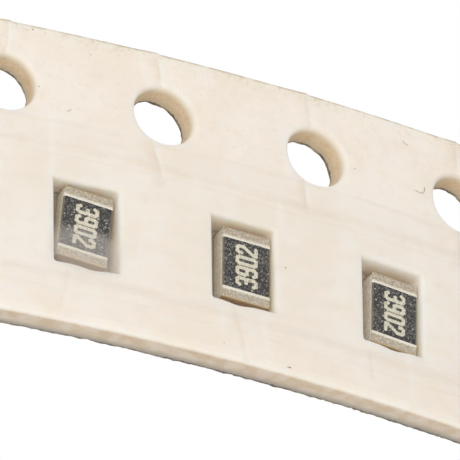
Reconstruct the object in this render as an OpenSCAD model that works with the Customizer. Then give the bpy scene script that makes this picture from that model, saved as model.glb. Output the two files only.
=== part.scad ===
// Strip of punched paper carrier tape, curled as it came off its reel, with a chip resistor in
// each pocket between a bottom tape and a clear cover tape.
// +X runs along the strip, +Y towards the sprocket holes and +Z out of the cover side. The strip
// stands as a low arch on its two cut ends, and the origin is on that ground under its middle.

/* [Strip] */
// Feed pitches from one cut end to the other, which is also the number of pockets
pitches = 10; // [2:1:12]
// Width of the paper
tape_w = 8; // [7.8:0.05:8.4]
// Radius that the strip has curled to, at the middle of the paper's thickness
bend_r = 53.6; // [35:0.1:150]

/* [Sprocket holes] */
// Distance from one hole to the next
hole_pitch = 4; // [3.6:0.05:6]
// Diameter of a hole
hole_d = 1.5; // [1:0.05:1.6]
// Distance from the paper's edge to the line of hole centres
hole_edge = 1.75; // [1.4:0.05:1.9]

/* [Pockets] */
// Distance from the line of hole centres to the line of pocket centres, across the strip
pocket_line = 3.51; // [3.3:0.01:3.7]
// Room that a pocket leaves its chip along the strip
play_along = 0.4; // [0.1:0.01:0.5]
// Room that a pocket leaves its chip across the strip
play_across = 0.33; // [0.1:0.01:0.4]
// Room that a pocket leaves over its chip, below the cover tape
head_room = 0.145; // [0.05:0.005:0.4]
// Radius of a pocket's corners
pocket_corner_r = 0.06; // [0.02:0.01:0.08]

/* [Cover and bottom tapes] */
// Width of the cover tape
cover_w = 5.22; // [4.6:0.02:5.4]
// Thickness of the cover tape
cover_t = 0.06; // [0.03:0.01:0.12]
// Width of the bottom tape
bottom_w = 5.1; // [4.6:0.02:5.3]
// Thickness of the bottom tape
bottom_t = 0.05; // [0.03:0.01:0.12]
// Distance that both tapes keep from the rims of the sprocket holes
hole_margin = 0.03; // [0.02:0.01:0.2]

/* [Chip resistor] */
// Length of a chip, which lies across the strip
chip_l = 1.95; // [1.8:0.01:2.05]
// Width of a chip, which lies along the strip
chip_w = 1.25; // [1.1:0.01:1.3]
// Height of a chip over its terminals
chip_t = 0.55; // [0.35:0.01:0.65]
// Thickness of the plating that makes a terminal
plate_t = 0.035; // [0.025:0.005:0.05]
// Length of a terminal on the chip's top
top_band = 0.31; // [0.2:0.01:0.5]
// Length of a terminal on the chip's underside
bottom_band = 0.38; // [0.2:0.01:0.6]
// Radius of a terminal's outer edges and corners
terminal_r = 0.09; // [0.055:0.005:0.1]
// Thickness of the coating over the resistive layer
coat_t = 0.03; // [0.015:0.005:0.04]
// Distance from the coating's edge to the chip's side
coat_inset = 0.01; // [0.01:0.01:0.15]
// Slope of the coating's side edges, as a distance
coat_slope = 0.03; // [0.01:0.005:0.05]

/* [How the chips lie] */
// Clearance between a chip and the bottom tape that it lies on
seat_gap = 0.005; // [0:0.005:0.02]
// Share of the room in its pocket that a chip turns and slides by at most
looseness = 0.95; // [0:0.05:0.95]

/* [Hidden] */
$fn = 64;
arc_fn = 720;                                 // Facets in a full turn of the strip's long arc
cut = 0.2;                                    // How far a cutter reaches past what it cuts
pocket_w = chip_w + play_along;
pocket_l = chip_l + play_across;
paper_t = seat_gap + chip_t + head_room;      // The pockets go right through the paper
out_r = bend_r + paper_t / 2;                 // Cover side of the paper
in_r = bend_r - paper_t / 2;                  // Underside of the paper
pitch_angle = angle_of(hole_pitch, bend_r);
half_angle = pitches / 2 * pitch_angle;
axis_z = -(in_r - bottom_t) * cos(half_angle); // Puts the lowest edges of both ends at z = 0
hole_y = tape_w / 2 - hole_edge;
pocket_y = hole_y - pocket_line;
film_y = hole_y - hole_d / 2 - hole_margin;   // Edge of both tapes beside the holes
substrate_l = chip_l - 2 * plate_t;
substrate_t = chip_t - 2 * plate_t;
coat_l = chip_l - 2 * top_band;
coat_w = chip_w - 2 * coat_inset;

// How each chip has come to lie, as shares from -1 to 1 of what its pocket allows: its turn, and
// then how far it has slid along and across the strip
LIE = [
    [ 0.15,  0.60, -0.40], [-0.30, -0.70,  0.50], [ 0.20,  0.90, -0.80], [ 0.35, -0.80,  0.20],
    [-0.56,  0.55,  0.65], [-0.11,  1.00,  0.16], [-0.18,  1.00, -0.44], [ 0.10, -0.50,  0.80],
    [-0.40,  0.30, -0.60], [-0.10,  0.80, -0.90], [ 0.25,  0.10,  0.60], [-0.20, -0.90, -0.30]
];
CHIPS = [for (i = [1:pitches]) i];
function two_digits(i) = i < 10 ? str("0", i) : str(i);
function chip_name(i, piece) = str("chip_", two_digits(i), "_", piece);
PIECES = ["substrate", "coating", "terminal_a", "terminal_b"];

// Angle in degrees that a length takes up on an arc
function angle_of(length, radius) = length / radius * 180 / PI;

// Angle of pocket i from the middle of the strip
function pocket_angle(i) = (i - 0.5) * pitch_angle - half_angle;

// The furthest that a chip can turn before its corners meet two walls of its pocket
largest_turn = min(asin(min(1, play_along / chip_l)), asin(min(1, play_across / chip_w)));

// The room that a chip turned by an angle has on either side of it, along and across the strip
function room_along(turn) = (pocket_w - chip_w * cos(turn) - chip_l * abs(sin(turn))) / 2;
function room_across(turn) = (pocket_l - chip_l * cos(turn) - chip_w * abs(sin(turn))) / 2;

// Stands its children on the strip's arc, at an angle from the middle and a radius from the axis
module on_arc(angle, radius) {
    translate([0, 0, axis_z]) rotate([0, angle, 0]) translate([0, 0, radius]) children();
}

// A sheet as long as the strip, bent to the arc, between two radii and two places across it
module bent_sheet(r0, r1, y0, y1) {
    translate([0, 0, axis_z]) rotate([90, 0, 0]) rotate([0, 0, 90 - half_angle])
        rotate_extrude(angle = 2 * half_angle, $fn = arc_fn)
            translate([r0, -y1]) square([r1 - r0, y1 - y0]);
}

// A rectangle centred on the origin, with round corners
module rounded_rectangle(w, l, r) {
    square([w - 2 * r, l], center = true);
    square([w, l - 2 * r], center = true);
    for (x = [-1, 1], y = [-1, 1]) translate([x * (w / 2 - r), y * (l / 2 - r)]) circle(r = r);
}

// Paper with a sprocket hole at every pitch, both ends included, and a pocket midway between holes
module carrier_tape() {
    color([0.93, 0.90, 0.84]) difference() {
        bent_sheet(in_r, out_r, -tape_w / 2, tape_w / 2);
        for (i = [0:pitches]) on_arc(i * pitch_angle - half_angle, in_r - cut)
            translate([0, hole_y, 0]) cylinder(d = hole_d, h = paper_t + 2 * cut);
        for (i = CHIPS) on_arc(pocket_angle(i), in_r - cut)
            translate([0, pocket_y, 0]) linear_extrude(paper_t + 2 * cut)
                rounded_rectangle(pocket_w, pocket_l, pocket_corner_r);
    }
}

// Thin tape that closes the pockets from below
module bottom_tape() {
    color([0.90, 0.88, 0.83]) bent_sheet(in_r - bottom_t, in_r, film_y - bottom_w, film_y);
}

// Clear film that is heat-sealed over the pockets
module cover_tape() {
    color([0.92, 0.94, 0.97, 0.35]) bent_sheet(out_r, out_r + cover_t, film_y - cover_w, film_y);
}

// Lays one piece of chip i on the bottom tape, in the place that the chip has slid to.
// Every other chip faces the other way.
module in_pocket(i) {
    lie = looseness * LIE[i - 1];
    turn = lie[0] * largest_turn;
    along = lie[1] * room_along(turn);
    across = lie[2] * room_across(turn);
    on_arc(pocket_angle(i) + angle_of(along, in_r), in_r + seat_gap)
        translate([0, pocket_y + across, 0]) rotate([0, 0, turn + 180 * (i % 2)]) children();
}

// Ceramic block between the platings of the terminals, with its corners in line with theirs
module substrate() {
    color([0.80, 0.78, 0.74]) translate([0, 0, plate_t]) linear_extrude(substrate_t)
        intersection() {
            square([chip_w, substrate_l], center = true);
            rounded_rectangle(chip_w, chip_l, terminal_r);
        }
}

// Dark coating on the ceramic between the terminals, with sloping side edges
module coating() {
    color([0.10, 0.11, 0.14]) translate([0, coat_l / 2, chip_t - plate_t]) rotate([90, 0, 0])
        linear_extrude(coat_l) polygon([
            [-coat_w / 2, 0], [coat_w / 2, 0],
            [coat_w / 2 - coat_slope, coat_t], [coat_slope - coat_w / 2, coat_t]
        ]);
}

// Plating that wraps the +Y end of the ceramic, over its top, end and underside
module terminal() {
    color([0.82, 0.80, 0.77]) difference() {
        intersection() {
            translate([-chip_w / 2, 0, 0]) rotate([90, 0, 90]) linear_extrude(chip_w)
                terminal_profile();
            linear_extrude(chip_t) rounded_rectangle(chip_w, chip_l, terminal_r);
        }
        translate([0, 0, chip_t / 2])
            cube([chip_w + 2 * cut, substrate_l, substrate_t], center = true);
    }
}

// Side view of a terminal's outside: round at the chip's end, with a bead along each band's edge
module terminal_profile() {
    band_profile(top_band, chip_t - plate_t, chip_t - terminal_r);
    band_profile(bottom_band, plate_t, terminal_r);
    translate([chip_l / 2 - 2 * terminal_r, terminal_r])
        square([2 * terminal_r, chip_t - 2 * terminal_r]);
}

module band_profile(band, bead_z, end_z) {
    bead_y = chip_l / 2 - band + plate_t;
    end_y = chip_l / 2 - terminal_r;
    translate([bead_y, bead_z]) circle(r = plate_t);
    translate([end_y, end_z]) circle(r = terminal_r);
    translate([bead_y, bead_z - plate_t]) square([end_y - bead_y, 2 * plate_t]);
}

carrier_tape();
bottom_tape();
cover_tape();
for (i = CHIPS) {
    in_pocket(i) substrate();
    in_pocket(i) coating();
    in_pocket(i) terminal();
    in_pocket(i) rotate([0, 0, 180]) terminal();
}
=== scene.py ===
"""Looks of a strip of paper carrier tape with chip resistors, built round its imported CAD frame.

Lengths are in mm until a mesh is made. The tape is laid out flat, as (along, across, height over
its underside), and wrapped on the arc that the CAD solids follow. A chip is laid out in its own
frame, which is read from its CAD nodes. Colours are sRGB triples of 0 to 255.
"""

from functools import partialmethod
from itertools import product
from math import cos, pi, radians, sin, sqrt

import bpy
import numpy as np
from mathutils import Matrix, Vector, noise
from mathutils.geometry import delaunay_2d_cdt
from numpy.linalg import norm


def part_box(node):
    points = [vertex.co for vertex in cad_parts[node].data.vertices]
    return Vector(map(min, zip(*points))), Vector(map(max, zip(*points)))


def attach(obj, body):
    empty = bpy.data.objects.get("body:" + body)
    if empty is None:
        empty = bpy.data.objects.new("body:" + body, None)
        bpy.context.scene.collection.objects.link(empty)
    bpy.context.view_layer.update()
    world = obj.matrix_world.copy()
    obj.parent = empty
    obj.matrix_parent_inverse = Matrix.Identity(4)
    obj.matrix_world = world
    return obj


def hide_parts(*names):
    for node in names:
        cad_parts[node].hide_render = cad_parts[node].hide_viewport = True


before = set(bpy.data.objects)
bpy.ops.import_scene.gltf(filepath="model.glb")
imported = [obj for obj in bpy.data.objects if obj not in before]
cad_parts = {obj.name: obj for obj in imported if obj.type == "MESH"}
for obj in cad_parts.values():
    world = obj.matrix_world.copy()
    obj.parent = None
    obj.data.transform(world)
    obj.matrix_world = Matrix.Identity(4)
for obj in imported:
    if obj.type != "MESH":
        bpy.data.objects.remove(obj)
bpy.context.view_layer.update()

MM = 0.001
TINY = 1e-9

# The tape, as in the CAD source.
BEND_R = 53.6
PAPER_T = 0.70
IN_R = BEND_R - PAPER_T / 2
OUT_R = BEND_R + PAPER_T / 2
HALF_L = 20.0
HALF_W = 4.0
HOLE_PITCH = 4.0
HOLE_R = 0.75
HOLE_Y = 2.25
POCKET_Y = -1.26
POCKET_W = 1.64
PUNCH_SHIFT = 0.02  # how far the punched pockets lie past the middle between two holes
POCKET_L = 2.28
POCKET_CORNER = 0.06
FILM_Y = 1.47
COVER_LOW_Y = FILM_Y - 5.22
BACKING_LOW_Y = FILM_Y - 5.10
CHIP_COUNT = 10
HOLES = [-HALF_L + HOLE_PITCH * i for i in range(CHIP_COUNT + 1)]
POCKETS = [-HALF_L + HOLE_PITCH * (i + 0.5) + PUNCH_SHIFT for i in range(CHIP_COUNT)]
AXIS_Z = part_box("carrier_tape")[1].z / MM - OUT_R

# The chip, as in the CAD source.
CHIP_L = 1.95
CHIP_W = 1.25
CHIP_T = 0.55
PLATE_T = 0.035
BLOCK_L = 1.88
TOP_BAND = 0.31
BOTTOM_BAND = 0.38
CAP_R = 0.045
COAT_L = 1.33
COAT_T = 0.03


# ---- meshes


def smooth_step(low, high, value):
    t = np.clip((value - low) / (high - low), 0, 1)
    return t * t * (3 - 2 * t)


def bell(distance, width):
    """1 at no distance, and almost nothing at twice the width."""
    return np.exp(-((distance / width) ** 2))


def noise_at(points, scale, seed):
    """Perlin noise of about -1 to 1 at each row of points."""
    shift = Vector((seed * 17.3, seed * -9.1, seed * 5.7))
    return np.array([noise.noise(Vector(p) * scale + shift) for p in points])


def rows_at(along, across, height=0.0):
    """Rows of (along, across, height)."""
    return np.column_stack((along, across, height + 0 * along))


def unit_rows(rows):
    return rows / np.maximum(norm(rows, axis=1), TINY)[:, None]


def wrap(flat):
    """Flat tape coordinates wrapped on the arc, in metres."""
    angle = flat[:, 0] / BEND_R
    radius = IN_R + flat[:, 2]
    x, z = radius * np.sin(angle), AXIS_Z + radius * np.cos(angle)
    return MM * np.column_stack((x, flat[:, 1], z))


def ring_quads(low, high, size):
    """Quads between two rings of points, which start at these indices."""
    following = [(i + 1) % size for i in range(size)]
    return [(low + i, low + j, high + j, high + i) for i, j in enumerate(following)]


def link(name, data):
    made = bpy.data.objects.new(name, data)
    bpy.context.scene.collection.objects.link(made)
    return made


def make_piece(name, points, faces, material, stands_for, fields):
    """A smooth piece that rides on the part and stands for CAD nodes. Points are in metres.

    Each field holds a number or a vector for each point."""
    mesh = bpy.data.meshes.new(name)
    mesh.from_pydata([tuple(p) for p in points], [], faces)
    for field, values in fields.items():
        values = np.asarray(values, np.float32)
        kind, key = ("FLOAT", "value") if values.ndim == 1 else ("FLOAT_VECTOR", "vector")
        mesh.attributes.new(field, kind, "POINT").data.foreach_set(key, values.ravel())
    mesh.shade_smooth()
    mesh.materials.append(material)
    piece = link(name, mesh)
    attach(piece, "root")
    if stands_for:
        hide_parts(*stands_for)


# ---- shader nodes


def srgb(red, green, blue):
    """An sRGB colour of 0 to 255 as linear RGBA."""
    parts = [c / 255 for c in (red, green, blue)]
    return [c / 12.92 if c <= 0.04045 else ((c + 0.055) / 1.055) ** 2.4 for c in parts] + [1.0]


def grey(level):
    return [level] * 3 + [1.0]


class Nodes:
    """Adds nodes to an emptied node tree. Most methods return the new node's output socket.

    A value is plain or another node's output socket, and a colour may be an sRGB triple."""

    def __init__(self, owner):
        owner.use_nodes = True
        self.tree = owner.node_tree
        self.tree.nodes.clear()

    def put(self, socket, value):
        if isinstance(value, bpy.types.NodeSocket):
            self.tree.links.new(value, socket)
        elif socket.type == "RGBA" and len(value) == 3:
            socket.default_value = srgb(*value)
        else:
            socket.default_value = value

    def add(self, kind, inputs=None, **settings):
        """The node itself, with its inputs set by name or number."""
        made = self.tree.nodes.new("ShaderNode" + kind)
        for key, value in settings.items():
            setattr(made, key, value)
        for key, value in (inputs or {}).items():
            self.put(made.inputs[key], value)
        return made

    def maths(self, operation, *values):
        return self.add("Math", dict(enumerate(values)), operation=operation).outputs[0]

    plus = partialmethod(maths, "ADD")
    minus = partialmethod(maths, "SUBTRACT")
    times = partialmethod(maths, "MULTIPLY")

    def away_from(self, place, value):
        return self.maths("ABSOLUTE", self.minus(value, place))

    def field(self, name, kind="Fac"):
        return self.add("Attribute", attribute_name=name).outputs[kind]

    def split(self, vector):
        return self.add("SeparateXYZ", {0: vector}).outputs

    def grain(self, vector, scale, detail=2.0, roughness=0.5):
        inputs = {"Vector": vector, "Scale": scale, "Detail": detail, "Roughness": roughness}
        return self.add("TexNoise", inputs).outputs["Fac"]

    def cells(self, vector, scale):
        """One random grey of 0 to 1 in each small cell."""
        return self.add("TexVoronoi", {"Vector": vector, "Scale": scale}).outputs["Color"]

    def ramp(self, value, low, high, start=0.0, end=1.0):
        """value mapped smoothly from low..high to start..end."""
        inputs = {"Value": value, "From Min": low, "From Max": high, "To Min": start, "To Max": end}
        return self.add("MapRange", inputs, interpolation_type="SMOOTHSTEP").outputs["Result"]

    def line(self, value, place, half):
        """1 where value is at place, falling smoothly to 0 at half the line's width."""
        return self.ramp(self.away_from(place, value), half, 0.0)

    def blend(self, share, first, second):
        """first with this share of it replaced by second."""
        made = self.add("Mix", data_type="RGBA")
        self.put(made.inputs[0], share)
        for socket, value in zip([s for s in made.inputs if s.type == "RGBA"], (first, second)):
            self.put(socket, value)
        return next(s for s in made.outputs if s.type == "RGBA")

    def layers(self, colour, *layers):
        """colour with layers over it, each a share and the layer's colour."""
        for share, over in layers:
            colour = self.blend(share, colour, over)
        return colour

    def bump(self, height, distance):
        inputs = {"Height": height, "Distance": distance, "Strength": 1.0}
        return self.add("Bump", inputs).outputs[0]


def new_material(name, **inputs):
    """A material with one Principled shader, its nodes, and a way to set the shader's inputs."""
    material = bpy.data.materials.new(name)
    n = Nodes(material)
    shader = n.add("BsdfPrincipled")
    n.add("OutputMaterial", {"Surface": shader.outputs[0]})

    def put(**values):
        for key, value in values.items():
            n.put(shader.inputs[key.replace("_", " ")], value)

    put(**inputs)
    return material, n, put


# ---- materials

# Ranges of a grain, which is mostly 0.3 to 0.7, that part it softly into halves.
EVEN = (0.35, 0.65)
GENTLE = (0.3, 0.7)
DIRT_REACH = 0.45
WEAR_REACH = (0.12, 0.03)
# How deep the face's cream runs down a wall: partly the rounded rim's own paper, partly painted
# light scattered in from the face.
INTO_WALL = 0.12
PAPER_BUMP = 0.000004


def face_colour(n, across, broad, middle, fine):
    """Cream with faint patches, bending marks darkened with painted shade, a mottled margin and a
    dirty and worn edge.
    """
    margin = n.ramp(across, FILM_Y - 0.1, FILM_Y + 0.5, 0.25, 1.0)
    mottle = n.times(n.ramp(fine, 0.54, 0.8, 0.0, 0.35), margin)
    # Painted shade along the creases and on their low side.
    crease_shade = n.times(n.field("crease_shade"), n.ramp(middle, 0.3, 0.6, 0.4, 1.0))
    dirt = n.ramp(across, HALF_W - DIRT_REACH, HALF_W)
    dirt = n.times(dirt, n.ramp(fine, 0.45, 0.7, 0.1, 0.55))
    dirt = n.times(dirt, n.ramp(broad, 0.4, 0.6, 0.3, 1.0))
    wear = n.ramp(across, *[HALF_W - reach for reach in WEAR_REACH])
    wear = n.times(wear, n.ramp(middle, 0.38, 0.6, 0.35, 0.9))
    return n.layers(
        (243, 235, 225), (n.ramp(broad, *EVEN), (240, 230, 217)),
        (n.ramp(middle, 0.5, 0.8, 0.0, 0.4), (236, 224, 207)), (mottle, (216, 202, 182)),
        (crease_shade, (216, 199, 178)), (n.field("pale"), (250, 247, 243)), (dirt, (198, 187, 158)),
        (wear, (178, 162, 138)),
    )


def punched_colour(n, height, middle, fine):
    """Tan walls of the sprocket holes, greyer near the top and duller at the bottom with painted
    shade.
    """
    colour = n.layers(
        (232, 214, 184), (n.ramp(fine, *GENTLE), (220, 199, 166)),
        (n.ramp(middle, 0.5, 0.75, 0.0, 0.5), (216, 180, 132)),
        # Painted shade: greyer near the top of the wall.
        (n.ramp(height, 0.40, 0.62), (226, 214, 194)),
    )
    # Painted shade: duller towards the bottom of the hole.
    return n.blend(n.ramp(height, 0.08, 0.35), (204, 188, 164), colour)


def pocket_colour(n, height, broad, middle):
    """Pale walls of the pockets, paler than the face as painted light for light through the paper,
    with a golden tinge in their depth.
    """
    golden = n.times(n.ramp(height, 0.62, 0.25), n.ramp(middle, 0.3, 0.65, 0.15, 0.6))
    shade = n.ramp(broad, 0.4, 0.62)
    # Painted light: the walls' colours are paler than the face's.
    return n.layers((250, 244, 232), (shade, (247, 237, 218)), (golden, (243, 222, 188)))


def slit_colour(n, height, middle, fine):
    """Greyer long sides, darkest at the bottom with painted shade."""
    shade, patch = n.ramp(middle, *EVEN), n.ramp(fine, 0.55, 0.75, 0.0, 0.4)
    colour = n.layers((215, 202, 185), (shade, (204, 186, 162)), (patch, (188, 165, 138)))
    # Painted shade towards the bottom of the side.
    return n.blend(n.ramp(height, 0.09, 0.36), (156, 150, 141), colour)


def foot_shade_share(n, height, side, pocket, middle, fine):
    """The share of painted shade in a dark ragged line at the foot of a wall. Pockets have none."""
    ragged = n.minus(n.plus(height, n.times(fine, 0.10)), n.times(side, 0.03))
    foot_shade = n.times(n.ramp(ragged, 0.17, 0.11), n.ramp(middle, 0.35, 0.6, 0.5, 1.0))
    return n.times(foot_shade, n.minus(1.0, pocket))


def paper_material():
    """Pale board. Its fields say which kind of surface each place is."""
    material, n, put = new_material(
        "paper", Roughness=0.85, Specular_IOR_Level=0.2,
        Subsurface_Weight=0.6, Subsurface_Radius=(0.55, 0.44, 0.32), Subsurface_Scale=MM,
    )
    flat = n.field("flat", "Vector")
    _, across, height = n.split(flat)
    side, pocket = n.field("side"), n.field("pocket")
    broad, middle = n.grain(flat, 0.8, 3.0), n.grain(flat, 3.2, 2.0)
    fine = n.grain(flat, 11.0, 3.0, 0.6)
    face = face_colour(n, across, broad, middle, fine)
    wall = n.layers(
        punched_colour(n, height, middle, fine), (pocket, pocket_colour(n, height, broad, middle)),
        (side, slit_colour(n, height, middle, fine)),
    )
    # Partly the rim's own paper, partly painted light: the face's cream runs down the top of each
    # wall.
    wall = n.blend(n.ramp(height, PAPER_T, PAPER_T - INTO_WALL), face, wall)
    # Painted shade: a dark ragged line along the foot of the walls.
    wall = n.blend(foot_shade_share(n, height, side, pocket, middle, fine), wall, (80, 78, 75))
    put(Base_Color=n.blend(n.field("wall"), face, wall))
    put(Normal=n.bump(n.grain(flat, 22.0, 4.0, 0.6), PAPER_BUMP))
    return material


CLEAR_HAZE = 0.025
# Pale lines that the sealing iron's edges pressed in the film, as (across, half width, strength).
SEAL_LINES = (
    (1.40, 0.06, 0.06), (0.78, 0.16, 0.12), (0.50, 0.06, 0.03), (-2.78, 0.18, 0.14),
    (-3.18, 0.06, 0.05),
)
# Pale patches, as (along, across, half length, half width, strength). The first, over the fifth
# pocket, is a painted reflection of the soft light; the others are haze.
HAZE_AND_REFLECTION_PATCHES = (
    (-2.0, -2.05, 1.2, 0.85, 0.13), (-10.3, -0.9, 0.9, 0.7, 0.11), (13.8, -1.7, 1.0, 0.8, 0.13),
)


def film_material():
    """Clear film with haze, a painted reflection of the light over one pocket, and faint seal lines
    that wander a little and fade in places.
    """
    material, n, put = new_material(
        "cover_film", Base_Color=(244, 237, 228), Roughness=0.25, IOR=1.45, Specular_IOR_Level=0.2
    )
    flat = n.field("flat", "Vector")
    along, across, _ = n.split(flat)
    across = n.plus(across, n.times(n.minus(n.grain(flat, 0.45, 2.0), 0.5), 0.25))
    stretched = n.add("CombineXYZ", {0: n.times(along, 0.25), 1: across}).outputs[0]
    haze = CLEAR_HAZE
    for place, half, strength in SEAL_LINES:
        haze = n.plus(haze, n.times(n.line(across, place, half), strength))
    haze = n.times(haze, n.ramp(n.grain(stretched, 2.2, 1.0), 0.25, 0.7, 0.5, 1.0))
    # Haze patches, and over the fifth pocket a painted reflection of the light.
    for s, y, half_s, half_y, strength in HAZE_AND_REFLECTION_PATCHES:
        spread = n.times(n.line(along, s, half_s), n.line(across, y, half_y))
        haze = n.plus(haze, n.times(n.ramp(spread, 0.0, 0.35), strength))
    put(Alpha=haze)
    return material


# The backing film's two seals, as (across, half width).
BACKING_SEALS = ((FILM_Y - 0.35, 0.22), (BACKING_LOW_Y + 0.35, 0.22))
BACKING_BUMP = 0.00003


def outside_pocket(n, along, across):
    """Distance from the nearest pocket's outline, negative over the pocket."""
    from_start = n.plus(along, HALF_L - PUNCH_SHIFT)
    from_hole = n.maths("PINGPONG", from_start, HOLE_PITCH / 2)
    beside = n.minus((HOLE_PITCH - POCKET_W) / 2, from_hole)
    beyond = n.minus(n.away_from(POCKET_Y, across), POCKET_L / 2)
    return n.maths("MAXIMUM", beside, beyond)


def backing_material():
    """Matt backing film with two pressed seals, a dip over each pocket darkened with painted shade,
    and each pocket's outline.
    """
    material, n, put = new_material("backing_film", Roughness=0.55, Specular_IOR_Level=0.35)
    flat = n.field("flat", "Vector")
    along, across, _ = n.split(flat)
    fine, patch = n.grain(flat, 16.0, 4.0, 0.7), n.ramp(n.grain(flat, 1.1), 0.4, 0.7, 0.0, 0.5)
    shade = n.ramp(fine, *EVEN)
    colour = n.layers((226, 213, 190), (shade, (211, 195, 168)), (patch, (204, 185, 156)))
    for place, half in BACKING_SEALS:
        pressed = n.times(n.line(across, place, half), n.ramp(fine, 0.3, 0.6, 0.25, 0.6))
        colour = n.blend(pressed, colour, (238, 230, 214))
    outside = outside_pocket(n, along, across)
    over = n.ramp(outside, 0.04, -0.06)
    # Painted shade over each pocket's floor, and a darker line along its outline.
    pocket_floor_shade, outline = n.times(over, 0.5), n.times(n.line(outside, 0.0, 0.09), 0.35)
    put(Base_Color=n.layers(colour, (pocket_floor_shade, (178, 163, 140)), (outline, (158, 141, 116))))
    put(Normal=n.bump(n.minus(n.times(fine, 0.2), over), BACKING_BUMP))
    return material


def ceramic_material():
    material, n, put = new_material("ceramic", Roughness=0.55)
    fine = n.grain(n.field("local", "Vector"), 14.0, 3.0)
    put(Base_Color=n.blend(n.ramp(fine, *GENTLE), (232, 226, 214), (208, 200, 186)))
    return material


INK_RAGGED = 0.04
GLAZE_BUMP = 0.000014


def glaze_material():
    """Dark glassy coating with paler grains, worn edges and the printed marking."""
    material, n, put = new_material("glaze", Roughness=0.38, Specular_IOR_Level=0.4)
    place = n.field("local", "Vector")
    fine, grains = n.grain(place, 40.0, 2.0, 0.7), n.cells(place, 34.0)
    wear = n.times(n.ramp(n.field("rim"), 0.2, 1.0), n.ramp(fine, 0.3, 0.6, 0.5, 1.0))
    dark = n.layers(
        (5, 5, 9), (n.ramp(grains, *GENTLE), (46, 45, 48)),
        (n.ramp(grains, 0.62, 0.72), (112, 108, 101)),
        (n.ramp(grains, 0.88, 0.90), (196, 189, 175)), (wear, (132, 114, 92)),
    )
    shade, gaps = n.ramp(fine, *EVEN), n.ramp(grains, 0.80, 0.84, 0.0, 0.6)
    ink = n.layers((234, 227, 207), (shade, (204, 196, 172)), (gaps, (128, 120, 104)))
    reach = n.plus(n.field("ink"), n.times(n.minus(fine, 0.5), INK_RAGGED))
    put(Base_Color=n.blend(n.ramp(reach, -0.005, 0.006), dark, ink))
    put(Normal=n.bump(n.grain(place, 24.0, 2.0, 0.8), GLAZE_BUMP))
    return material


TIN_BUMP = 0.000012


def tin_material():
    """Matt tin with dull brown grains, a painted highlight along the beads of the bands, and a
    painted reflection on the end faces.
    """
    material, n, put = new_material("tin")
    place = n.field("local", "Vector")
    fine = n.grain(place, 20.0, 3.0, 0.8)
    dull = n.layers(
        (228, 218, 200), (n.ramp(fine, 0.38, 0.64), (178, 164, 140)),
        (n.ramp(n.grain(place, 6.0), 0.45, 0.7, 0.0, 0.5), (204, 180, 144)),
        # Painted reflection: the end faces take the golden tone of the pocket wall they face.
        (n.field("end"), (214, 188, 150)),
    )
    # Painted highlight along the bead.
    bead_highlight = n.times(n.field("bead"), n.ramp(fine, 0.45, 0.65, 1.0, 0.45))
    put(Base_Color=n.blend(bead_highlight, dull, (252, 245, 230)), Normal=n.bump(fine, TIN_BUMP))
    put(Metallic=n.ramp(bead_highlight, 0.0, 1.0, 0.9, 0.3))
    put(Roughness=n.ramp(bead_highlight, 0.0, 1.0, 0.42, 0.26))
    return material


def dust_material():
    material, n, put = new_material("dust", Roughness=0.8)
    fine = n.grain(n.field("flat", "Vector"), 18.0)
    brown = n.blend(n.ramp(fine, *EVEN), (112, 92, 70), (70, 60, 52))
    put(Base_Color=n.blend(n.field("dark"), (206, 188, 162), brown))
    return material


# ---- paper strip

# Least and most radius of a punched rim. Most is on the side that DRAGGED_TOWARDS points to.
HOLE_RIM = (0.06, 0.18)
POCKET_RIM = (0.04, 0.12)
DRAGGED_TOWARDS = (0.55, 0.83)
SIDE_RIM = 0.09
END_RIM = 0.02
UNDER_R = 0.03
SUPPORT = 0.03  # width of the band that joins a rim to the face beside it
RIM_STEPS = 6
WALL_STEPS = 7
HOLE_POINTS = 80
HALF_HOLE_POINTS = 28
CORNER_POINTS = 5
EDGE_SPACING = 0.07
END_SPACING = 0.12
FACE_SPACING = 0.15
UNDER_SPACING = 0.4
UNDER_CLEAR = 0.3
JITTER = 0.3
# Bumps of the face, as (height, scale, seed).
FACE_BUMPS = ((0.004, 0.9, 1), (0.002, 3.1, 2))
# Bumps of the cut walls, as (depth, stretch, scale, seed).
WALL_BUMPS = ((0.007, (1, 1, 0.4), 4.0, 5), (0.004, (1, 1, 0.5), 14.0, 6))
# How deep the pockets' low sides are torn, and how wide and how far from the middle, as shares
# of their half width.
TORN_DEPTH = 0.06
TORN_SHARE = 0.4
TORN_WANDER = 0.25


def spaced(start, end, spacing):
    """Points from start up to but without end."""
    start, end = np.array(start, float), np.array(end, float)
    count = max(1, round(float(norm(end - start)) / spacing))
    return [start + (end - start) * k / count for k in range(count)]


def heading(turn):
    """The unit vector at an angle in radians."""
    return np.array((cos(turn), sin(turn)))


def arc(centre, radius, start, end, count):
    """Points on an arc, without its last one. Angles in degrees."""
    turns = np.radians(np.linspace(start, end, count, endpoint=False))
    return [np.array(centre) + radius * heading(t) for t in turns]


def hole_loop(along):
    return np.array(arc((along, HOLE_Y), HOLE_R, 0, 360, HOLE_POINTS))


def pocket_loop(number, along):
    """The pocket's rounded outline, counter-clockwise, with its low side torn back a little."""
    half = np.array((POCKET_W, POCKET_L)) / 2 - POCKET_CORNER
    centre = np.array((along, POCKET_Y))
    corners = [((1, -1), -90), ((1, 1), 0), ((-1, 1), 90), ((-1, -1), 180)]
    points = []
    for (sign, start), (following, _) in zip(corners, corners[1:] + corners[:1]):
        middle = centre + half * sign
        out = POCKET_CORNER * heading(radians(start + 90))
        points += arc(middle, POCKET_CORNER, start, start + 90, CORNER_POINTS)
        points += spaced(middle + out, centre + half * following + out, EDGE_SPACING)
    points = np.array(points)
    share = (points[:, 0] - along) / (POCKET_W / 2)
    low = points[:, 1] < POCKET_Y - POCKET_L / 2 + POCKET_CORNER
    torn_at = TORN_WANDER * sin(2.1 * number)
    torn = TORN_DEPTH * bell(share - torn_at, TORN_SHARE) * (1 - share**2)
    points[:, 1] -= np.where(low, torn, 0)
    return points


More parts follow.
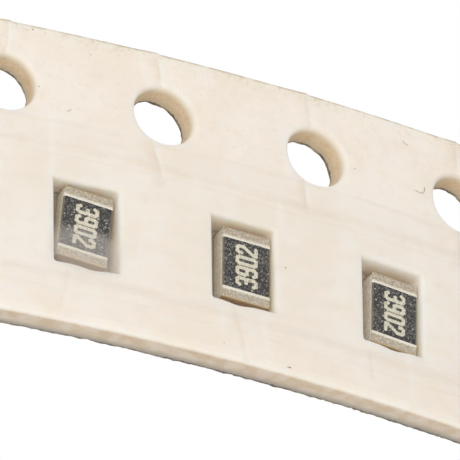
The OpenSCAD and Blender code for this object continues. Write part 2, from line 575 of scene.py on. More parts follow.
def outer_loop():
    """The strip's outline with a half hole in each cut end, counter-clockwise."""
    up = (-HALF_W, HOLE_Y - HOLE_R, HOLE_Y + HOLE_R, HALF_W)
    points = []
    for end, turn, (a, b, c, d) in ((HALF_L, 270, up), (-HALF_L, 90, up[::-1])):
        points += spaced((-end, a), (end, a), EDGE_SPACING)
        points += spaced((end, a), (end, b), END_SPACING)
        points += arc((end, HOLE_Y), HOLE_R, turn, turn - 180, HALF_HOLE_POINTS)
        points += spaced((end, c), (end, d), END_SPACING)
    return np.array(points)


def loop_normals(points):
    """Each point's direction to the left of the loop, with the corners mitred."""
    edges = [points - np.roll(points, 1, 0), np.roll(points, -1, 0) - points]
    before, after = [unit_rows(edge[:, ::-1] * (-1, 1)) for edge in edges]
    middle = unit_rows(before + after)
    return middle / np.clip((middle * before).sum(1), 0.6, 1)[:, None]


def rim_levels(rim):
    """Each ring's (inset from the wall, height, 1 on the wall), from the top to the underside."""
    turns = [pi / 2 * k / RIM_STEPS for k in range(RIM_STEPS + 1)]
    levels = [(rim + SUPPORT, PAPER_T, 0.0)]
    for k, turn in enumerate(turns):
        inset, drop = rim * (1 - sin(turn)), rim * (1 - cos(turn))
        levels.append((inset, PAPER_T - drop, 1.0 if k else 0.0))
    for share in np.linspace(0, 1, WALL_STEPS + 1)[1:-1]:
        levels.append((0, (PAPER_T - rim) * (1 - share) + UNDER_R * share, 1.0))
    for turn in turns[::2]:
        levels.append((UNDER_R * (1 - cos(turn)), UNDER_R * (1 - sin(turn)), 1.0))
    levels.append((UNDER_R + SUPPORT, 0, 0.0))
    return [(inset + 0 * rim, height + 0 * rim, wall) for inset, height, wall in levels]


def face_height(along, across):
    """Small unevenness of the paper's top face. It only lowers the face."""
    places = rows_at(along, across)
    return sum(height * (noise_at(places, scale, seed) - 1) for height, scale, seed in FACE_BUMPS)


# Bending marks on the face, as lines of (along, across). Those at holes are pale, with painted
# shade on their low side, and the dark lines are painted shade along creases. The holes are counted
# from the strip's -X end.
HOLE_CREASES = {
    4: [[(-3.88, 4.0), (-3.95, 3.0)]],
    5: [[(-0.18, 4.0), (-0.10, 3.5), (-0.02, 3.0)], [(-0.26, 1.35), (-0.12, 0.9), (-0.04, 0.5)]],
    6: [[(3.76, 4.0), (3.88, 3.0)], [(3.68, 1.4), (3.74, 0.8)]],
}
PALE_LINES = [
    [(-2.86, 1.4), (-2.84, 0.0)],
    [(3.0, 0.65), (3.02, 0.0)],
    [(1.46, -2.7), (1.42, -3.25)],
    [(6.44, -2.5), (6.5, -3.7)],
    [(2.55, -2.7), (2.6, -3.5)],
]
DARK_LINES = [
    [(-2.45, -2.6), (-2.66, -3.65)],
    [(1.75, -2.6), (1.92, -3.3), (2.05, -3.95)],
    [(5.35, -2.75), (5.42, -3.5)],
]
# Places across a mark at which the face gets points, and their spacing along it.
MARK_STEPS = (-0.17, -0.11, -0.06, -0.02, 0.02, 0.06, 0.11, 0.17)
MARK_SPACING = 0.06
MARK_SKEW = 0.003


def hole_creases():
    """The creases at every hole, listed or of the same kind."""
    lines = []
    for i, along in enumerate(HOLES):
        lean = 0.15 * sin(2.3 * i + 0.4)
        if i in HOLE_CREASES:
            lines += HOLE_CREASES[i]
        elif abs(along) < HALF_L:
            lines.append([(along + lean, 4.0), (along + lean * 0.3, 3.0)])
            lines.append([(along - lean - 0.1, 1.4), (along - lean * 0.4, 0.6 + lean)])
    return lines


def line_distance(points, line):
    """Distance to a line, and how far to its +along side each point is."""
    best, side = np.full(len(points), np.inf), np.zeros(len(points))
    for a, b in zip(line, line[1:]):
        a, b = np.array(a), np.array(b)
        span = b - a
        share = np.clip(((points - a) @ span) / (span @ span), 0, 1)
        away = points - a - share[:, None] * span
        length = norm(away, axis=1)
        side = np.where(length < best, away[:, 0], side)
        best = np.minimum(best, length)
    return best, side


def face_marks(flat):
    """Painted crease shade, pale line and ridge at each point of the face."""
    points = flat[:, :2]
    to_edge = smooth_step(3.0, HALF_W, points[:, 1])
    crease_shade, pale, ridge = np.zeros((3, len(points)))
    for line in hole_creases():
        away, side = line_distance(points, line)
        # Painted shade on the crease's low side and in its fold.
        crease_shade += 0.34 * bell(away, 0.24) * (side < 0.0)
        pale += 0.40 * bell(away, 0.10) * (side > -0.03)
        crease_shade += 0.46 * bell(side + 0.03, 0.035) * bell(away, 0.06)
        ridge += 0.006 * bell(away, 0.05)
        buckled = np.exp(-abs(side) / np.where(side < 0, 0.5, 0.05)) * smooth_step(1.1, 0.0, away)
        ridge += 0.046 * buckled * to_edge
    for line in PALE_LINES:
        away, _ = line_distance(points, line)
        pale += 0.32 * bell(away, 0.10)
    for line in DARK_LINES:
        away, side = line_distance(points, line)
        # Painted shade along the dark lines.
        crease_shade += 0.3 * bell(away, 0.06)
        pale += 0.15 * bell(side - 0.08, 0.05) * (away < 0.2)
    return np.clip(crease_shade, 0, 1), np.clip(pale, 0, 1), ridge


def mark_points():
    """Extra face points that keep the marks sharp."""
    found = []
    for line in hole_creases() + PALE_LINES + DARK_LINES:
        for a, b in zip(line, line[1:]):
            for start in spaced(a, b, MARK_SPACING):
                found += [start + (step, MARK_SKEW * k) for k, step in enumerate(MARK_STEPS)]
    return np.array(found)


def clear_of_rims(points, clear):
    """Which points lie on the face at least this far from every cut wall."""
    s, y = points[:, 0], points[:, 1]
    keep = (abs(s) < HALF_L - clear) & (abs(y) < HALF_W - clear)
    for centre in HOLES:
        keep &= np.hypot(s - centre, y - HOLE_Y) > HOLE_R + clear
    for centre in POCKETS:
        beside = abs(s - centre) > POCKET_W / 2 + clear
        keep &= beside | (abs(y - POCKET_Y) > POCKET_L / 2 + clear)
    return keep


def grid_points(spacing, clear):
    """Jittered points on the face, away from every wall."""
    halves = (HALF_L, HALF_W)
    lines = [np.arange(clear - half, half - clear + 1e-6, spacing) for half in halves]
    flat = rows_at(*[a.ravel() for a in np.meshgrid(*lines)])
    jitter = [noise_at(flat, 5.3, seed) for seed in (3, 4)]
    points = flat[:, :2] + spacing * JITTER * np.column_stack(jitter)
    return points[clear_of_rims(points, clear)]


def inside(points, outline):
    """Which points lie inside a closed outline."""
    (x1, y1), (x2, y2) = outline.T, np.roll(outline, -1, 0).T
    x, y = points[:, 0, None], points[:, 1, None]
    straddles = (y1 > y) != (y2 > y)
    crossing = x1 + (y - y1) * (x2 - x1) / np.where(y2 == y1, TINY, y2 - y1)
    return (straddles & (x < crossing)).sum(1) % 2 == 1


def fill_face(loops, extra):
    """Triangles over the paper between the loops. The first loop is the outline."""
    points, sizes = np.vstack(loops + [extra]), [len(loop) for loop in loops]
    owner = np.repeat([*range(len(loops)), -1], [*sizes, len(extra)])
    edges, first = [], 0
    for size in sizes:
        edges += [(first + i, first + (i + 1) % size) for i in range(size)]
        first += size
    made = delaunay_2d_cdt([Vector(p) for p in points], edges, [], 0, 1e-6)
    source = np.array([ids[0] for ids in made[3]])
    faces = source[made[2]]
    same = np.ptp(owner[faces], axis=1) == 0
    drop = same & (owner[faces[:, 0]] > 0)
    outline = np.flatnonzero(same & (owner[faces[:, 0]] == 0))
    drop[outline] = ~inside(points[faces[outline]].mean(1), loops[0])
    faces = faces[~drop]
    corners = points[faces]
    ab, ac = corners[:, 1] - corners[:, 0], corners[:, 2] - corners[:, 0]
    flip = ab[:, 0] * ac[:, 1] - ab[:, 1] * ac[:, 0] < 0
    faces[flip] = faces[flip][:, ::-1]
    return faces


def wall_roughness(flat, side):
    """How far the paper lies back from the cutter's line. The long sides are slit cleaner."""
    back = [
        d * (noise_at(flat * stretch, scale, seed) + 1) for d, stretch, scale, seed in WALL_BUMPS
    ]
    return sum(back) * (1 - 0.4 * side)


def torn_edge(flat, side, pocket):
    """(set back, lifted) near the underside, where the last fibres broke. Pockets are clean."""
    low = 1 - smooth_step(0.02, 0.14, flat[:, 2])
    low = low * smooth_step(0.1, 0.7, HALF_L - abs(flat[:, 0]))
    coarse, fine = noise_at(flat * (1, 1, 0), 3.3, 7), noise_at(flat * (1, 1, 0), 9.0, 8)
    slit = 0.022 * (1 + coarse) * (1 + 0.6 * fine)
    punched = 0.03 * coarse + 0.02 * fine
    ragged = np.where(side > 0, slit, punched) * (1 - pocket)
    return low * ragged, low * 0.02 * np.clip(1 + fine, 0, 2) * side


def rim_radii(outer, hole_inward, sizes):
    """The top rim's radius at each point of every loop."""
    from_end = HALF_L - abs(outer[:, 0])
    on_side = abs(outer[:, 1]) > HALF_W - 0.001
    outer_rim = END_RIM + (SIDE_RIM - END_RIM) * smooth_step(0, 0.5, from_end) * on_side
    radii = [HOLE_RIM] * (len(HOLES) - 2) + [POCKET_RIM] * len(POCKETS)
    least, most = np.repeat(radii, sizes[1:], axis=0).T
    facing = smooth_step(-0.8, 0.8, hole_inward @ DRAGGED_TOWARDS)
    return np.concatenate((outer_rim, least + (most - least) * facing))


def strip_rings():
    """The rings of points down every cut wall, their fields, and each loop's size. The outline's
    loop comes first, then the holes and pockets."""
    outer = outer_loop()
    punched = [hole_loop(s) for s in HOLES[1:-1]]
    punched += [pocket_loop(i, s) for i, s in enumerate(POCKETS)]
    inward = np.vstack([loop_normals(outer)] + [-loop_normals(loop) for loop in punched])
    points = np.vstack([outer] + punched)
    sizes = [len(outer)] + [len(loop) for loop in punched]
    side = np.repeat([1.0] + [0.0] * len(punched), sizes)
    pocket = np.repeat([0.0] * (len(sizes) - len(POCKETS)) + [1.0] * len(POCKETS), sizes)
    rings, walls = [], []
    levels = rim_levels(rim_radii(outer, inward[sizes[0]:], sizes))
    for k, (inset, height, wall) in enumerate(levels):
        flat = np.column_stack((points + inward * inset[:, None], height))
        depth = np.clip((PAPER_T - height) / PAPER_T, 0, 1) if wall else 0 * height
        set_back, lift = torn_edge(flat, side, pocket)
        rough = wall_roughness(flat, side) * np.minimum(1, depth * 4)
        flat[:, :2] += inward * (rough + set_back)[:, None]
        flat[:, 2] += lift
        if k <= RIM_STEPS:
            flat[:, 2] += face_height(flat[:, 0], flat[:, 1]) * (1 - k / (RIM_STEPS + 1))
        rings.append(flat)
        walls.append(wall)
    return rings, walls, side, pocket, sizes


def wall_faces(sizes, level_count):
    """Quads between the rings. The paper lies inside the first loop and outside the others."""
    faces, count, first = [], sum(sizes), 0
    for loop, size in enumerate(sizes):
        order = -1 if loop else 1
        for k in range(level_count - 1):
            top, low = k * count + first, (k + 1) * count + first
            for i in range(size):
                j = (i + 1) % size
                faces.append((top + i, low + i, low + j, top + j)[::order])
        first += size
    return faces


def paper_strip(material):
    """The paper as one closed mesh: walls, top face and underside."""
    rings, walls, side, pocket, sizes = strip_rings()
    count, level_count = sum(sizes), len(rings)
    starts = np.cumsum([0] + sizes)
    faces = wall_faces(sizes, level_count)
    top = np.vstack((grid_points(FACE_SPACING, 0), mark_points()))
    # A point within a rim's first ring would put faces over the hole or pocket.
    top = top[clear_of_rims(top, max(HOLE_RIM + POCKET_RIM) + SUPPORT + 0.03)]
    top_height = PAPER_T + face_height(top[:, 0], top[:, 1])
    under = grid_points(UNDER_SPACING, UNDER_CLEAR)
    total = count * level_count
    for ring, extra, height, order in ((0, top, top_height, 1), (level_count - 1, under, 0.0, -1)):
        loops = [rings[ring][starts[k]:starts[k + 1], :2] for k in range(len(sizes))]
        index = np.concatenate((ring * count + np.arange(count), total + np.arange(len(extra))))
        faces += [tuple(int(v) for v in t) for t in index[fill_face(loops, extra)][:, ::order]]
        rings.append(rows_at(*extra.T, height))
        total += len(extra)
    flat = np.vstack(rings)
    crease_shade, pale, ridge = face_marks(flat)
    on_top = flat[:, 2] > PAPER_T - 0.05
    bare = smooth_step(FILM_Y, FILM_Y + 0.1, flat[:, 1])
    flat[:, 2] += ridge * smooth_step(0.2, PAPER_T, flat[:, 2]) * bare
    fields = {"flat": flat, "wall": np.repeat(walls, count)}
    fields |= {"side": np.tile(side, level_count), "pocket": np.tile(pocket, level_count)}
    for name in ("wall", "side", "pocket"):
        fields[name] = np.append(fields[name], np.zeros(total - count * level_count))
    fields |= {"crease_shade": crease_shade * on_top, "pale": pale * on_top}
    make_piece("paper_strip", wrap(flat), faces, material, ["carrier_tape"], fields)


# ---- films

SHEET_COLUMNS = 241
SHEET_ROWS = 36
# Underside and top of each film, just clear of the paper and inside the CAD films.
COVER_HEIGHTS = (PAPER_T + 0.002, PAPER_T + 0.05)
BACKING_HEIGHTS = (-0.05, -0.002)


def sheet_faces(rows, columns):
    """Faces of a closed thin sheet: a top grid, an underside grid, and the edge between them."""
    size = rows * columns
    top = np.arange(size).reshape(rows, columns)
    low, faces = top + size, []
    for i, j in product(range(rows - 1), range(columns - 1)):
        faces.append((top[i, j], top[i, j + 1], top[i + 1, j + 1], top[i + 1, j]))
        faces.append((low[i, j], low[i + 1, j], low[i + 1, j + 1], low[i, j + 1]))
    rim = list(top[0]) + list(top[1:, -1]) + list(top[-1, -2::-1]) + list(top[-2:0:-1, 0])
    for a, b in zip(rim, rim[1:] + rim[:1]):
        faces.append((a, a + size, b + size, b))
    return [tuple(int(v) for v in face) for face in faces]


def tape_sheet(name, low_y, heights, material, node):
    """A film along the whole strip, from low_y up to the line that both films end on."""
    along = np.linspace(-HALF_L, HALF_L, SHEET_COLUMNS)
    across = np.linspace(low_y, FILM_Y, SHEET_ROWS)
    s, y = [a.ravel() for a in np.meshgrid(along, across)]
    lower, upper = [rows_at(s, y, height) for height in heights]
    flat = np.vstack((upper, lower))
    faces = sheet_faces(SHEET_ROWS, SHEET_COLUMNS)
    make_piece(name, wrap(flat), faces, material, [node], {"flat": flat})


# ---- dust

# Specks as (along, across, half length, half width, turn in degrees, darkness).
SPECKS = (
    (-2.41, 1.80, 0.020, 0.014, 20, 0.8), (-2.36, 1.84, 0.012, 0.010, 0, 0.6),
    (-2.46, 1.76, 0.010, 0.009, 0, 0.6), (-3.15, 2.30, 0.016, 0.012, 70, 0.5),
    (3.12, -1.07, 0.020, 0.017, 10, 0.8), (3.17, -3.80, 0.062, 0.012, -4, 0.9),
    (1.47, -3.60, 0.016, 0.012, 0, 0.6), (5.05, 2.27, 0.016, 0.012, 30, 0.5),
    (-3.30, 3.85, 0.020, 0.014, 0, 0.5), (-1.85, 3.50, 0.014, 0.012, 0, 0.35),
    (4.28, -3.62, 0.012, 0.010, 0, 0.5), (0.95, 3.10, 0.010, 0.010, 0, 0.4),
)
# Fibres as lines of (along, across).
FIBRES = (
    ((6.72, 2.22), (6.82, 2.19), (6.93, 2.20), (6.97, 2.26), (6.99, 2.38)),
    ((6.40, 3.50), (6.46, 3.44), (6.54, 3.42)),
    ((-12.10, 2.95), (-12.02, 3.08), (-11.85, 3.12)),
    ((14.30, 0.95), (14.42, 1.02), (14.47, 1.15), (14.44, 1.24)),
)
SPECK_HEIGHT = 0.006
SPECK_CROWN = 0.002
SPECK_SUNK = 0.010
SPECK_SIDES = 9
FIBRE_R = 0.007
FIBRE_SUNK = 0.001
FIBRE_SIDES = 4
FIBRE_DARKNESS = 0.55
LOOSE_SPECKS = 46
LISTED_STRETCH = (-5.5, 9.5)  # where the listed specks lie, and no loose ones
SPECK_CLEAR = 0.1


def scattered(k, step, low, high, start=0.0):
    """The k-th of values that fill low..high evenly without a pattern."""
    return low + (high - low) * ((k * step + start) % 1)


def all_specks():
    """The listed specks, and more of them scattered over the rest of the strip."""
    found = list(SPECKS)
    reach, breadth = 0.97 * HALF_L, 0.95 * HALF_W
    for k in range(LOOSE_SPECKS):
        along = scattered(k, 0.618034, -reach, reach)
        across = scattered(k, 0.6493422, -breadth, breadth, 0.2)
        listed = LISTED_STRETCH[0] < along < LISTED_STRETCH[1]
        if listed or not clear_of_rims(np.array([[along, across]]), SPECK_CLEAR)[0]:
            continue
        size = scattered(k, 0.7548, 0.008, 0.020)
        darkness = scattered(k, 0.5698, 0.3, 0.8)
        found.append((along, across, size, size * 0.75, 37 * k, darkness))
    return found


def speck_mesh(along, across, half_l, half_w, turn, seed):
    """One closed flat crumb, sunk a little in the face."""
    count = SPECK_SIDES
    turns = np.arange(count) * 2 * pi / count
    rough = 1 + 0.3 * np.sin(3 * turns + seed) + 0.15 * np.cos(5 * turns + 2 * seed)
    unit = np.column_stack((half_l * rough * np.cos(turns), half_w * rough * np.sin(turns)))
    c, s = heading(radians(turn))
    ring = unit @ np.array(((c, s), (-s, c)))
    base, top = PAPER_T - SPECK_SUNK, PAPER_T + SPECK_HEIGHT
    points = [(along, across, base)]
    points += [(along + x, across + y, base) for x, y in ring]
    points += [(along + 0.6 * x, across + 0.6 * y, top) for x, y in ring]
    points.append((along, across, top + SPECK_CROWN))
    faces, crown = [], 2 * count + 1
    for i in range(count):
        low, next_low = 1 + i, 1 + (i + 1) % count
        high, next_high = low + count, next_low + count
        faces += [(0, next_low, low), (low, next_low, next_high, high), (high, next_high, crown)]
    return points, faces


def fibre_mesh(line):
    """One thin closed fibre that lies on the face."""
    line, n, points = np.array(line), FIBRE_SIDES, []
    for (along, across), (u, v) in zip(line, unit_rows(np.gradient(line, axis=0))):
        for side, rise in arc((0, 0), FIBRE_R, 0, 360, n):
            points.append((along - v * side, across + u * side, PAPER_T + rise - FIBRE_SUNK))
    faces = [tuple(range(n))[::-1]]
    for first in range(0, len(points) - n, n):
        faces += ring_quads(first, first + n, n)
    faces.append(tuple(range(len(points) - n, len(points))))
    return points, faces


def dust():
    """Crumbs and fibres on the face, as one piece."""
    grit = [(speck_mesh(*speck[:5], k), speck[5]) for k, speck in enumerate(all_specks())]
    grit += [(fibre_mesh(line), FIBRE_DARKNESS) for line in FIBRES]
    points, faces, darkness = [], [], []
    for (more, their_faces), dark in grit:
        faces += [tuple(v + len(points) for v in face) for face in their_faces]
        points += more
        darkness += [dark] * len(more)
    flat = np.array(points)
    fields = {"flat": flat, "dark": darkness}
    make_piece("dust", wrap(flat), faces, dust_material(), [], fields)


# ---- chips

# Plain stroke digits, as lines in a unit box.
GLYPHS = {
    "0": [[
        (0.2, 0), (0.8, 0), (1, 0.1), (1, 0.9), (0.8, 1), (0.2, 1), (0, 0.9), (0, 0.1), (0.2, 0),
    ]],
    "2": [[(0, 0.8), (0, 0.9), (0.2, 1), (0.8, 1), (1, 0.9), (1, 0.66), (0, 0.14), (0, 0), (1, 0)]],
    "3": [
        [
            (0, 0.88), (0.2, 1), (0.8, 1), (1, 0.9), (1, 0.62), (0.8, 0.52),
            (1, 0.42), (1, 0.1), (0.8, 0), (0.2, 0), (0, 0.12),
        ],
        [(0.4, 0.52), (0.8, 0.52)],
    ],
    "9": [[
        (0, 0.12), (0.2, 0), (0.8, 0), (1, 0.1), (1, 0.9), (0.8, 1),
        (0.2, 1), (0, 0.9), (0, 0.58), (0.2, 0.48), (1, 0.48),
    ]],
}
MARKING = "3902"
MARK_LENGTH = 1.17
MARK_HEIGHT = 0.58
STROKE = 0.092
MARK_GAP = 0.028
GRAIN_SHIFT = 5  # how far apart the chips lie in the grain of their materials


def marking_lines():
    """The marking's strokes in the chip's frame. It reads along +Y, with its top towards -X."""
    pitch = MARK_LENGTH / len(MARKING)
    width, height = pitch - MARK_GAP - STROKE, MARK_HEIGHT - STROKE
    segments = []
    for k, character in enumerate(MARKING):
        first = -MARK_LENGTH / 2 + k * pitch + (MARK_GAP + STROKE) / 2
        for line in GLYPHS[character]:
            points = [(height / 2 - v * height, first + u * width) for u, v in line]
            segments += zip(points, points[1:])
    return segments


def ink_reach(points):
    """How far inside the nearest stroke each point lies, negative outside. Strokes end square."""
    best = np.full(len(points), np.inf)
    for a, b in marking_lines():
        a, b = np.array(a), np.array(b)
        length = norm(b - a)
        unit = (b - a) / length
        ahead = (points - a) @ unit
        beyond = np.maximum(0, np.maximum(-ahead, ahead - length))
        beside = abs((points - a) @ (-unit[1], unit[0]))
        best = np.minimum(best, (beyond**4 + beside**4) ** 0.25)
    return STROKE / 2 - best


def frame_matrix(axes, origin):
    """The matrix that moves a frame with these three axes to its origin."""
    columns = [*axes, origin]
    return Matrix([[column[r] for column in columns] for r in range(3)] + [[0, 0, 0, 1]])


def node_points(name):
    return np.array([v.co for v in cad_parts[name].data.vertices], float) / MM


def chip_frame(label):
    """Matrix from the chip's own frame to the part's, read from its CAD nodes."""
    names = ("substrate", "terminal_a", "terminal_b")
    block, end_a, end_b = [node_points(f"{label}_{name}") for name in names]
    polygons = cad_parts[f"{label}_substrate"].data.polygons
    normals = np.array([p.normal for p in polygons], float)
    along = normals[np.argmax(normals @ (end_a.mean(0) - end_b.mean(0)))]
    up = normals[np.argmax(normals[:, 2] - 10 * abs(normals @ along))]
    axes = (np.cross(along, up), along, up)
    points = np.vstack((block, end_a, end_b))
    spans = [points @ axis for axis in axes]
    middles = [(s.min() + s.max()) / 2 for s in spans[:2]] + [spans[2].min()]
    return frame_matrix(axes, sum(m * axis for m, axis in zip(middles, axes)) * MM)


def place(matrix, local):
    """Chip coordinates in mm moved into the part's frame, in metres."""
    turned = np.array(matrix, float)
    return local * MM @ turned[:3, :3].T + turned[:3, 3]


BEAD_R = 0.034  # the raised bead along a band's inner edge
BAND_DIP = 0.014  # how far the band's flat lies below the bead
CAP_ROUND = 0.03  # rounding of the cap's two sides
CAP_COLUMNS = 36
CAP_ROUND_STEPS = 5
# Lumps of the plating, as (height, scale), and the most that one may stand out.
LUMPS = ((0.004, 11.0), (0.003, 26.0))
LUMP_LIMIT = 0.002


def rounded_corner(y, z, radius, start, end, count):
    """Points on an arc of a section round (y, z), each as (Y, Z) and its outward direction."""
    pairs = [(cos(t), sin(t)) for t in np.linspace(start, end, count)]
    return [(y + radius * ny, z + radius * nz, ny, nz) for ny, nz in pairs]


def rounded_profile():
    """The +Y cap's section in (Y, Z): outer points with outward directions, then inner points."""
    edge, end, flat = CHIP_L / 2 - TOP_BAND, CHIP_L / 2, CHIP_T - BAND_DIP
    inset, quarter = end - CAP_R, pi / 2
    outer = rounded_corner(edge + BEAD_R, CHIP_T - BEAD_R, BEAD_R, pi, 0.3 * pi, 7)
    outer += [(y, flat, 0, 1) for y in np.linspace(edge + 2.2 * BEAD_R, inset, 8)[:-1]]
    outer += rounded_corner(inset, flat - CAP_R, CAP_R, quarter, 0, 8)
    outer += [(end, z, 1, 0) for z in np.linspace(flat - CAP_R, CAP_R, 9)[1:-1]]
    outer += rounded_corner(inset, CAP_R, CAP_R, 0, -quarter, 8)
    outer += [(y, 0.0, 0, -1) for y in np.linspace(inset, end - BOTTOM_BAND, 8)[1:]]
    deep, top = end - PLATE_T, CHIP_T - PLATE_T
    inner = [(min(y, deep), min(max(z, PLATE_T), top)) for y, z, _, _ in outer]
    return np.array(outer), np.array(inner)


def cap_sections(outer, inner):
    """The cap's sections across the chip, drawn in towards its two rounded sides."""
    straight = CHIP_W / 2 - CAP_ROUND
    turns = np.linspace(pi / 2, 0, CAP_ROUND_STEPS)
    near = [straight + CAP_ROUND * sin(t) for t in turns]
    middle = np.linspace(-straight, straight, CAP_COLUMNS)[1:-1]
    rows = []
    for x in [-x for x in near] + list(middle) + near[::-1]:
        over = max(0.0, abs(x) - straight) / CAP_ROUND
        shrink = CAP_ROUND * (1 - sqrt(max(0.0, 1 - over * over)))
        section = [(x, y - ny * shrink, z - nz * shrink) for y, z, ny, nz in outer]
        rows.append(section + [(x, y, z) for y, z in inner[::-1]])
    return np.array(rows)


def cap_faces(row_count, span):
    """Quads between the sections of span points, and over the first and the last."""
    faces, last = [], (row_count - 1) * span
    for first in range(0, last, span):
        faces += ring_quads(first, first + span, span)
    for j in range(span // 2 - 1):
        quad = (j, j + 1, span - 2 - j, span - 1 - j)
        faces += [quad[::-1], tuple(last + k for k in quad)]
    return faces


def cap_mesh(seed):
    """A plated end cap in the chip's frame, at its +Y end."""
    outer, inner = rounded_profile()
    points = cap_sections(outer, inner)
    row_count, span, _ = points.shape
    places = points.reshape(-1, 3)
    lift = sum(high * noise_at(places, scale, seed + k) for k, (high, scale) in enumerate(LUMPS))
    lift = np.minimum(lift, LUMP_LIMIT).reshape(row_count, span, 1)
    directions = np.zeros((span, 3))
    directions[:len(outer), 1:] = outer[:, 2:]
    local = (points + lift * directions).reshape(-1, 3)
    bead_y, bead_z = CHIP_L / 2 - TOP_BAND + BEAD_R, CHIP_T - BEAD_R
    to_bead = np.hypot(local[:, 1] - bead_y, local[:, 2] - bead_z)
    fields = {
        # The bead, which gets a painted highlight.
        "bead": 1 - smooth_step(BEAD_R * 1.1, BEAD_R * 2.2, to_bead),
        # The end face, which gets a painted reflection.
        "end": smooth_step(CHIP_L / 2 - CAP_R, CHIP_L / 2 - 0.01, local[:, 1]),
    }
    return local, cap_faces(row_count, span), fields


BLOCK_CELLS = (20, 30, 8)
BLOCK_WEAR = 0.02
SNAP_DEPTH = 0.004


def block_mesh(seed):
    """The ceramic block, with worn edges and slightly uneven snapped sides."""
    half = np.array((CHIP_W / 2, BLOCK_L / 2, (CHIP_T - 2 * PLATE_T) / 2))
    points, faces, index = [], [], {}

    def corner(grid):
        if grid not in index:
            full = half * [2 * g / n - 1 for g, n in zip(grid, BLOCK_CELLS)]
            core = np.clip(full, -(half - BLOCK_WEAR), half - BLOCK_WEAR)
            away = full - core
            length = norm(away)
            index[grid] = len(points)
            points.append(core + away / length * BLOCK_WEAR if length > TINY else full)
        return index[grid]

    for axis, far in product(range(3), (False, True)):
        u, v = [a for a in range(3) if a != axis]
        for i, j in product(range(BLOCK_CELLS[u]), range(BLOCK_CELLS[v])):
            quad = []
            for di, dj in ((0, 0), (1, 0), (1, 1), (0, 1)):
                grid = [0, 0, 0]
                grid[axis], grid[u], grid[v] = far * BLOCK_CELLS[axis], i + di, j + dj
                quad.append(corner(tuple(grid)))
            faces.append(tuple(quad if far != (axis == 1) else quad[::-1]))
    points = np.array(points)
    snapped = abs(points[:, 0]) > half[0] - 0.01
    uneven = SNAP_DEPTH * (noise_at(points, 9.0, seed) + 1) * snapped
    points[:, 0] -= np.sign(points[:, 0]) * uneven
    points[:, 2] += CHIP_T / 2
    return points, faces


GLAZE_COLUMNS = 54
GLAZE_ROWS = 56
GLAZE_ROUND = 0.07  # how far from the chip's sides the coating rounds over
GLAZE_SIDE_GAP = 0.004
GLAZE_UNDER_BAND = 0.012
GLAZE_SPREAD = 1.3  # columns are closest at the sides


def glaze_mesh(seed):
    """The coating, which rounds over at the chip's sides, and how near them each point is."""
    half_w, half_l = CHIP_W / 2 - GLAZE_SIDE_GAP, COAT_L / 2 + GLAZE_UNDER_BAND
    turns = np.linspace(-GLAZE_SPREAD, GLAZE_SPREAD, GLAZE_COLUMNS)
    xs = half_w * np.sin(turns) / sin(GLAZE_SPREAD)
    ys = np.linspace(-half_l, half_l, GLAZE_ROWS)
    x, y = [a.ravel() for a in np.meshgrid(xs, ys)]
    rim = 1 - np.clip((half_w - abs(x)) / GLAZE_ROUND, 0, 1)
    rise = np.sqrt(np.clip(1 - rim**2, 0, 1))
    flat = rows_at(x, y)
    base = CHIP_T - PLATE_T - 0.012
    height = (COAT_T + 0.008) * rise * (0.92 + 0.08 * noise_at(flat, 2.5, seed))
    z = base + height + 0.0015 * noise_at(flat, 20.0, seed + 1) * rise
    points = np.vstack((rows_at(x, y, z), rows_at(x, y, base - 0.004)))
    return points, sheet_faces(GLAZE_ROWS, GLAZE_COLUMNS), np.tile(rim, 2)


def chip(label, number, materials):
    """A chip's two caps, block and glaze, laid on the CAD chip of this label."""
    matrix, shift = chip_frame(label), number * GRAIN_SHIFT

    def piece(name, local, faces, look, slot, node, fields):
        fields = {"local": local + shift, **fields}
        name, node, points = f"{label}_{name}", f"{label}_{node}", place(matrix, local)
        make_piece(name, points, faces, materials[look], [node], fields)

    cap, faces, fields = cap_mesh(number * 3)
    for end, turn in (("a", 1), ("b", -1)):
        local = cap * (turn, turn, 1)
        piece(f"cap_{end}", local, faces, "tin", "tin", f"terminal_{end}", fields)
    local, faces = block_mesh(number)
    piece("block", local, faces, "ceramic", "ceramic", "substrate", {})
    local, faces, rim = glaze_mesh(number)
    fields = {"ink": ink_reach(local[:, :2]), "rim": rim}
    piece("glaze", local, faces, "glaze", "coating", "coating", fields)


# ---- stage

CAMERA_TARGET = (1.67, -0.46, 4.40)
CAMERA_TURNS = (-34.41, 49.40, 41.13)  # azimuth, elevation and roll, in degrees
CAMERA_DISTANCE = 299.24
CAMERA_LENS = 1004.1
SENSOR_WIDTH = 36.0
CAMERA_CLIP = (0.01, 10.0)

KEY_PLACE = (-0.24, -0.15, 0.36)
KEY_SIZE = 0.30
KEY_POWER = 0.80
FILL = 0.72
FLOOR_GREY = 0.9
FLOOR_HALF = 1.5
FLOOR_Z = -0.00002


def place_camera():
    data = bpy.data.cameras.new("camera")
    data.lens, data.sensor_width = CAMERA_LENS, SENSOR_WIDTH
    data.clip_start, data.clip_end = CAMERA_CLIP
    camera = link("camera", data)
    azimuth, elevation, roll = (radians(turn) for turn in CAMERA_TURNS)
    reach = cos(elevation)
    back = Vector((sin(azimuth) * reach, -cos(azimuth) * reach, sin(elevation)))
    level = back.cross(Vector((0, 0, -1))).normalized()
    upright = back.cross(level)
    right = level * cos(roll) + upright * sin(roll)
    axes = (right, back.cross(right), back)
    camera.matrix_world = frame_matrix(axes, (Vector(CAMERA_TARGET) + back * CAMERA_DISTANCE) * MM)
    bpy.context.scene.camera = camera


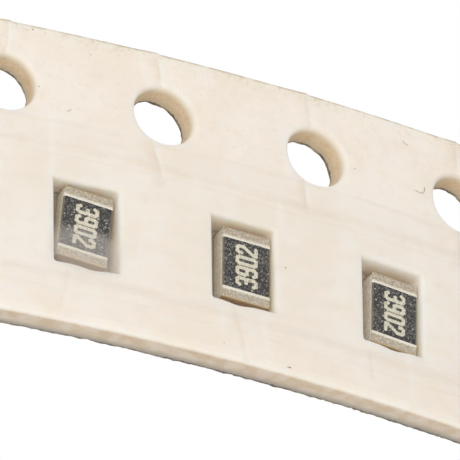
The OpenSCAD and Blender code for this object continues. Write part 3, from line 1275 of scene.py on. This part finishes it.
def key_light():
    """A round soft light that looks at the part's middle. Its place and size are in metres."""
    data = bpy.data.lights.new("key", "AREA")
    data.shape, data.size, data.energy = "DISK", KEY_SIZE, KEY_POWER
    lamp = link("key", data)
    lamp.location = KEY_PLACE
    lamp.rotation_mode = "QUATERNION"
    lamp.rotation_quaternion = (-Vector(KEY_PLACE)).to_track_quat("-Z", "Y")


def white_to_camera(n, lit, white):
    """The lit shader for the light's paths, and the white one for the camera."""
    seen = n.add("LightPath").outputs["Is Camera Ray"]
    return n.add("MixShader", {0: seen, 1: lit.outputs[0], 2: white.outputs[0]}).outputs[0]


def pale_floor():
    """A white floor that shows only from above, so the underside can be looked at."""
    corners = [(-1, -1), (1, -1), (1, 1), (-1, 1)]
    mesh = bpy.data.meshes.new("floor")
    points = [(x * FLOOR_HALF, y * FLOOR_HALF, FLOOR_Z) for x, y in corners]
    mesh.from_pydata(points, [], [(0, 1, 2, 3)])
    material = bpy.data.materials.new("floor")
    n = Nodes(material)
    lit = n.add("BsdfDiffuse", {"Color": grey(FLOOR_GREY)})
    white = n.add("Emission", {"Color": grey(1.0), "Strength": 1.0})
    seen = white_to_camera(n, lit, white)
    under = n.add("NewGeometry").outputs["Backfacing"]
    clear = n.add("BsdfTransparent").outputs[0]
    sided = n.add("MixShader", {0: under, 1: seen, 2: clear}).outputs[0]
    n.add("OutputMaterial", {"Surface": sided})
    mesh.materials.append(material)
    link("floor", mesh)


def studio():
    """Soft fill from a white surround, one large key light, and plain colours."""
    world = bpy.data.worlds.new("studio")
    bpy.context.scene.world = world
    n = Nodes(world)
    fill = n.add("Background", {"Color": grey(1.0), "Strength": FILL})
    white = n.add("Background", {"Color": grey(1.0), "Strength": 1.0})
    n.add("OutputWorld", {"Surface": white_to_camera(n, fill, white)})
    key_light()
    bpy.context.scene.view_settings.view_transform = "Standard"


# ---- build

place_camera()
studio()
pale_floor()
paper_strip(paper_material())
dust()
tape_sheet("cover_film", COVER_LOW_Y, COVER_HEIGHTS, film_material(), "cover_tape")
tape_sheet(
    "backing_film", BACKING_LOW_Y, BACKING_HEIGHTS, backing_material(), "bottom_tape"
)
chip_materials = {"tin": tin_material(), "ceramic": ceramic_material(), "glaze": glaze_material()}
for number in range(1, CHIP_COUNT + 1):
    chip(f"chip_{number:02d}", number, chip_materials)
